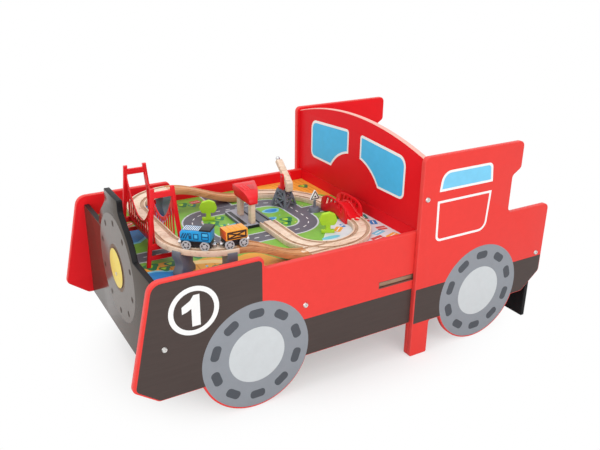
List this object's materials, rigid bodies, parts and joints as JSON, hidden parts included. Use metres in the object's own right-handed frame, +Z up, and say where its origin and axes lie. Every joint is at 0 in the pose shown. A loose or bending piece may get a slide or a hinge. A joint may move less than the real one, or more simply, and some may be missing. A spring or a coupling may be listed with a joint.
{
  "type": "toy locomotive play table",
  "caption": "Play table shaped like a toy steam engine: painted board sides with wheel discs, a sunk tray with a wooden railway, bridge, station and crane, and a cabin with a seat.",
  "frame": {"origin": "centre of the footprint on the floor", "axes": "+X from the engine nose to the tail, +Y to the engine right-hand side, +Z up"},
  "size_m": [1.05, 0.5492, 0.5139],
  "materials": {
    "red_board": "painted, satin",
    "deep_red_board": "painted, satin",
    "grey_board": "printed, satin",
    "black_board": "painted, satin",
    "lamp_yellow": "painted, satin",
    "steel": "plated",
    "tray_print": "printed, satin",
    "raw_wood": "raw",
    "track_wood": "sanded beech",
    "ramp_wood": "sanded, darker beech",
    "red_plastic": "moulded gloss",
    "grey_plastic": "moulded matt",
    "sign_white": "printed",
    "lime_wood": "painted",
    "loco_blue": "painted gloss",
    "wagon_orange": "painted gloss",
    "train_black": "moulded",
    "chrome": "plated"
  },
  "bodies": {
    "table": {"front_side_left": "red_board", "front_side_right": "red_board", "cabin_side_left": "red_board", "cabin_side_right": "red_board", "front_panel": "grey_board", "lamp_disc": "lamp_yellow", "lamp_screw": "steel", "windscreen_panel": "deep_red_board", "tray_end_board": "deep_red_board", "cross_board": "deep_red_board", "front_trestle": "red_board", "rear_trestle": "black_board", "seat_board": "red_board", "tray_board": "tray_print", "tray_batten_left": "raw_wood", "tray_batten_right": "raw_wood", "tray_battens_cross": "raw_wood", "panel_bolts": "steel", "barrel_nuts": "steel", "panel_dowels": "raw_wood", "track_ramp_near": "ramp_wood", "track_curve_near": "track_wood", "bridge_deck": "track_wood", "track_curve_far": "track_wood", "track_ramp_rear": "ramp_wood", "track_curve_rear": "track_wood", "track_curve_right": "track_wood", "track_switch": "track_wood", "track_straight": "track_wood", "bridge_tower_near": "red_plastic", "bridge_tower_far": "red_plastic", "bridge_cable_front": "red_plastic", "bridge_cable_rear": "red_plastic", "pier_curve": "grey_plastic", "pier_ramp": "grey_plastic", "pier_far": "grey_plastic", "arch_bridge": "red_plastic", "station_base": "grey_plastic", "station_posts": "track_wood", "station_roof": "red_plastic", "crane_tower": "grey_plastic", "sign_stand": "grey_plastic", "sign_plate": "sign_white", "tree_front": "lime_wood", "tree_rear": "lime_wood"},
    "loco": {"loco_body": "loco_blue", "loco_roof": "train_black", "loco_chassis": "train_black", "loco_links": "chrome"},
    "loco_front_wheels": {"loco_axle_front": "chrome"},
    "loco_rear_wheels": {"loco_axle_rear": "chrome"},
    "wagon": {"wagon_body": "wagon_orange", "wagon_chassis": "train_black", "wagon_links": "chrome"},
    "wagon_front_wheels": {"wagon_axle_front": "chrome"},
    "wagon_rear_wheels": {"wagon_axle_rear": "chrome"},
    "crane_slew": {"crane_fork": "red_plastic", "crane_pin": "steel"},
    "crane_arm": {"crane_jib": "track_wood", "crane_bead": "chrome"}
  },
  "joints": [
    {"name": "loco_lift", "type": "slide", "parent": "table", "child": "loco", "axis": [0, 0, 1], "range_m": [0, 0.08]},
    {"name": "loco_front_spin", "type": "hinge", "parent": "loco", "child": "loco_front_wheels", "pos_m": [-0.36299, -0.15808, 0.3518], "axis": [-0.6528, -0.7575, 0], "continuous": true},
    {"name": "loco_rear_spin", "type": "hinge", "parent": "loco", "child": "loco_rear_wheels", "pos_m": [-0.33496, -0.18224, 0.3518], "axis": [-0.6528, -0.7575, 0], "continuous": true},
    {"name": "wagon_lift", "type": "slide", "parent": "table", "child": "wagon", "axis": [0, 0, 1], "range_m": [0, 0.08]},
    {"name": "wagon_front_spin", "type": "hinge", "parent": "wagon", "child": "wagon_front_wheels", "pos_m": [-0.29843, -0.19546, 0.3518], "axis": [-0.0175, -0.9998, 0], "continuous": true},
    {"name": "wagon_rear_spin", "type": "hinge", "parent": "wagon", "child": "wagon_rear_wheels", "pos_m": [-0.26843, -0.19598, 0.3518], "axis": [-0.0175, -0.9998, 0], "continuous": true},
    {"name": "crane_turn", "type": "hinge", "parent": "table", "child": "crane_slew", "pos_m": [-0.01307, 0.09101, 0.33], "axis": [0, 0, 1], "continuous": true},
    {"name": "crane_luff", "type": "hinge", "parent": "crane_slew", "child": "crane_arm", "pos_m": [-0.01307, 0.08101, 0.3633], "axis": [1, 0, 0], "range_deg": [-40, 5]}
  ]
}
